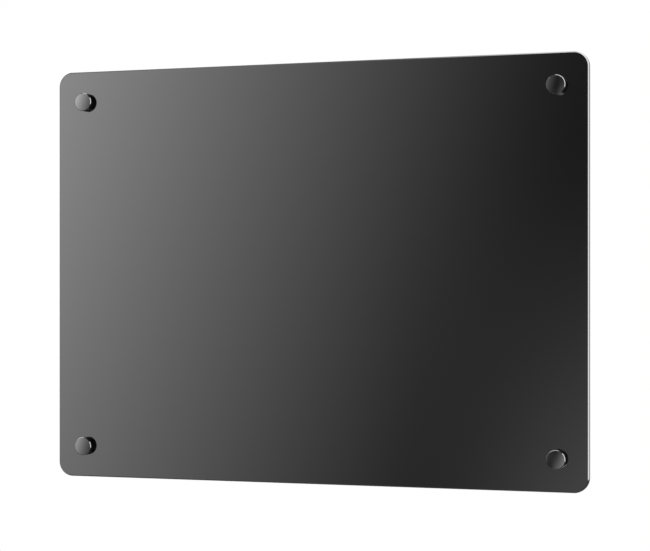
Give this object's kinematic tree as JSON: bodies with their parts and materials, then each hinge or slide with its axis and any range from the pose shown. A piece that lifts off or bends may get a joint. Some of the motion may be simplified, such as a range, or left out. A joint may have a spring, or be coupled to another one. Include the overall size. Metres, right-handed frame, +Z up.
{
  "type": "glass panel heater",
  "caption": "Wall-hung convector heater with a flat black glass front held off a shallow vented steel casing by round metal caps at the corners; thermostat and switch on top.",
  "frame": {"origin": "centre of the four wall-screw holes, on the wall's surface", "axes": "+X to the right of someone facing the glass, +Y into the wall, +Z up"},
  "size_m": [0.6, 0.0962, 0.45],
  "materials": {
    "black_glass": "polished, black enamel behind",
    "black_lacquer": "hard gloss black lacquer",
    "black_silicone": "matt",
    "nylon": "natural",
    "white_nylon": "natural",
    "satin_aluminium": "satin turned",
    "bright_aluminium": "bright rolled",
    "black_anodised_aluminium": "black anodised",
    "zinc_steel": "bright zinc plate",
    "graphite_powder_coat": "fine textured powder coat",
    "black_rubber": "matt",
    "black_plastic": "fine moulded texture",
    "gloss_black_plastic": "gloss moulded",
    "amber_lens": "clear moulded",
    "white_ceramic": "unglazed",
    "brass": "plain",
    "brown_insulation": "silicone sleeve",
    "blue_insulation": "silicone sleeve",
    "green_insulation": "silicone sleeve"
  },
  "bodies": {
    "wall_rails": {"upper_wall_rail": "zinc_steel", "lower_wall_rail": "zinc_steel"},
    "heater": {"glass_panel": "black_glass", "glass_sleeves": "nylon", "rear_washers": "black_silicone", "standoff_posts": "satin_aluminium", "post_nuts": "zinc_steel", "front_plate": "graphite_powder_coat", "rear_casing": "graphite_powder_coat", "plate_screws": "zinc_steel", "wall_spacers": "black_rubber", "control_fascia": "black_plastic", "thermostat_body": "black_plastic", "thermostat_nut": "zinc_steel", "switch_body": "black_plastic", "pilot_lamp": "amber_lens", "heating_element": "black_anodised_aluminium", "element_core": "zinc_steel", "element_bracket_left": "zinc_steel", "element_bracket_right": "zinc_steel", "ceramic_bushes": "white_ceramic", "heat_shield": "bright_aluminium", "shield_spacers": "white_ceramic", "thermal_cutout": "bright_aluminium", "cutout_strap": "zinc_steel", "strap_rivets": "bright_aluminium", "terminal_block": "white_nylon", "terminal_screws": "brass", "earth_stud": "brass", "earth_nut": "brass", "gland_body": "black_plastic", "gland_locknut": "black_plastic", "gland_dome_nut": "black_plastic", "gland_seal": "black_rubber", "spade_tabs": "brass", "lead_live": "brown_insulation", "lead_switched": "brown_insulation", "lead_thermostat": "brown_insulation", "lead_cutout": "brown_insulation", "lead_neutral": "blue_insulation", "lead_earth": "green_insulation"},
    "knob": {"thermostat_knob": "black_plastic", "thermostat_spindle": "white_nylon"},
    "rocker": {"switch_rocker": "gloss_black_plastic"},
    "washer_top_left": {"cap_washer_top_left": "black_silicone"},
    "cap_top_left": {"cap_top_left": "black_lacquer"},
    "washer_top_right": {"cap_washer_top_right": "black_silicone"},
    "cap_top_right": {"cap_top_right": "black_lacquer"},
    "washer_bottom_left": {"cap_washer_bottom_left": "black_silicone"},
    "cap_bottom_left": {"cap_bottom_left": "black_lacquer"},
    "washer_bottom_right": {"cap_washer_bottom_right": "black_silicone"},
    "cap_bottom_right": {"cap_bottom_right": "black_lacquer"}
  },
  "joints": [
    {"name": "lift_off", "type": "slide", "parent": "wall_rails", "child": "heater", "axis": [0, 0, 1], "range_m": [0, 0.014]},
    {"name": "thermostat_turn", "type": "hinge", "parent": "heater", "child": "knob", "pos_m": [0.179, -0.043, 0.2075], "axis": [0, 0, -1], "range_deg": [0, 270]},
    {"name": "switch_press", "type": "hinge", "parent": "heater", "child": "rocker", "pos_m": [0.237, -0.043, 0.2085], "axis": [0, 1, 0], "range_deg": [0, 20]},
    {"name": "cap_travel_top_left", "type": "slide", "parent": "heater", "child": "washer_top_left", "axis": [0, -1, 0], "range_m": [0, 0.006]},
    {"name": "cap_unscrew_top_left", "type": "hinge", "parent": "washer_top_left", "child": "cap_top_left", "pos_m": [-0.267, -0.0892, 0.191], "axis": [0, -1, 0], "range_deg": [0, 1800]},
    {"name": "cap_travel_top_right", "type": "slide", "parent": "heater", "child": "washer_top_right", "axis": [0, -1, 0], "range_m": [0, 0.006]},
    {"name": "cap_unscrew_top_right", "type": "hinge", "parent": "washer_top_right", "child": "cap_top_right", "pos_m": [0.267, -0.0892, 0.191], "axis": [0, -1, 0], "range_deg": [0, 1800]},
    {"name": "cap_travel_bottom_left", "type": "slide", "parent": "heater", "child": "washer_bottom_left", "axis": [0, -1, 0], "range_m": [0, 0.006]},
    {"name": "cap_unscrew_bottom_left", "type": "hinge", "parent": "washer_bottom_left", "child": "cap_bottom_left", "pos_m": [-0.267, -0.0892, -0.191], "axis": [0, -1, 0], "range_deg": [0, 1800]},
    {"name": "cap_travel_bottom_right", "type": "slide", "parent": "heater", "child": "washer_bottom_right", "axis": [0, -1, 0], "range_m": [0, 0.006]},
    {"name": "cap_unscrew_bottom_right", "type": "hinge", "parent": "washer_bottom_right", "child": "cap_bottom_right", "pos_m": [0.267, -0.0892, -0.191], "axis": [0, -1, 0], "range_deg": [0, 1800]}
  ],
  "couplings": [
    {"joint": "cap_travel_top_left", "follows": "cap_unscrew_top_left", "m_per_rad": 0.00015915},
    {"joint": "cap_travel_top_right", "follows": "cap_unscrew_top_right", "m_per_rad": 0.00015915},
    {"joint": "cap_travel_bottom_left", "follows": "cap_unscrew_bottom_left", "m_per_rad": 0.00015915},
    {"joint": "cap_travel_bottom_right", "follows": "cap_unscrew_bottom_right", "m_per_rad": 0.00015915}
  ]
}
